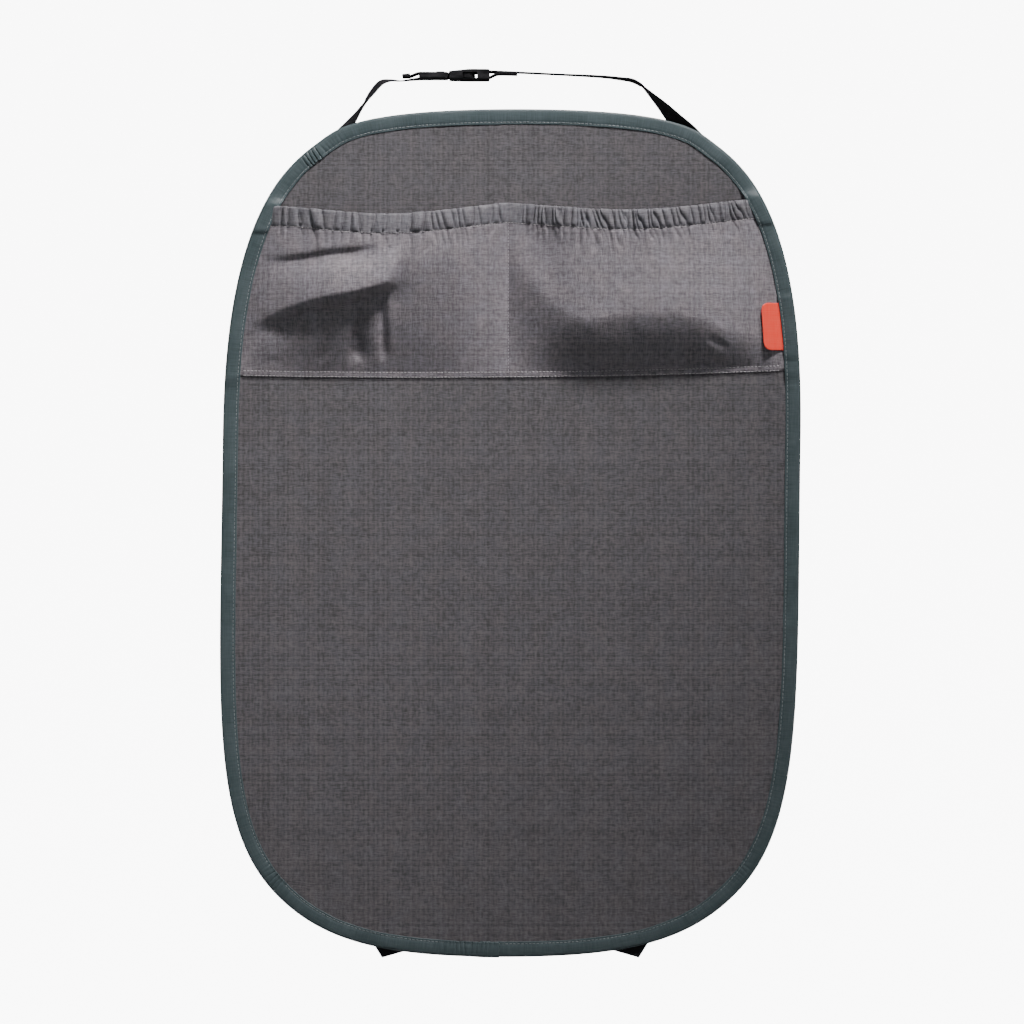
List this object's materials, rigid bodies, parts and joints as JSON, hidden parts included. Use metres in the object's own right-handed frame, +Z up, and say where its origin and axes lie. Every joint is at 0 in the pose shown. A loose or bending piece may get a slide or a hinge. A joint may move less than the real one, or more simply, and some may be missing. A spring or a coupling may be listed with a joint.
{
  "type": "car seat protector",
  "caption": "Fabric kick mat for the back of a car seat, with two gathered pockets, bound edge, buckled webbing strap for the head rest and an elastic strap below.",
  "frame": {"origin": "centre of the back panel's back face, the face that lies on the seat back", "axes": "+Z up the hanging mat, +Y out of its back face towards the seat, +X to the right as its front is seen"},
  "size_m": [0.4477, 0.0597, 0.6868],
  "materials": {
    "panel_cloth": "coarse plain weave, dull",
    "pocket_cloth": "fine plain weave, slight sheen",
    "elastic_cloth": "ribbed",
    "binding_tape": "ribbed, soft sheen",
    "label_cloth": "smooth, bare",
    "webbing": "close woven",
    "buckle_plastic": "satin moulded",
    "strap_elastic": "ribbed"
  },
  "bodies": {
    "mat": {"back_panel": "panel_cloth", "pocket_panel": "pocket_cloth", "pocket_elastic": "elastic_cloth", "edge_binding": "binding_tape", "side_label": "label_cloth", "top_strap_left": "webbing", "top_strap_right": "webbing", "buckle_clip": "buckle_plastic", "bottom_strap": "strap_elastic"},
    "socket": {"buckle_socket": "buckle_plastic"}
  },
  "joints": [
    {"name": "buckle_release", "type": "slide", "parent": "mat", "child": "socket", "axis": [1, 0, 0], "range_m": [0, 0.03], "deforming": ["buckle_clip", "top_strap_right"]}
  ]
}
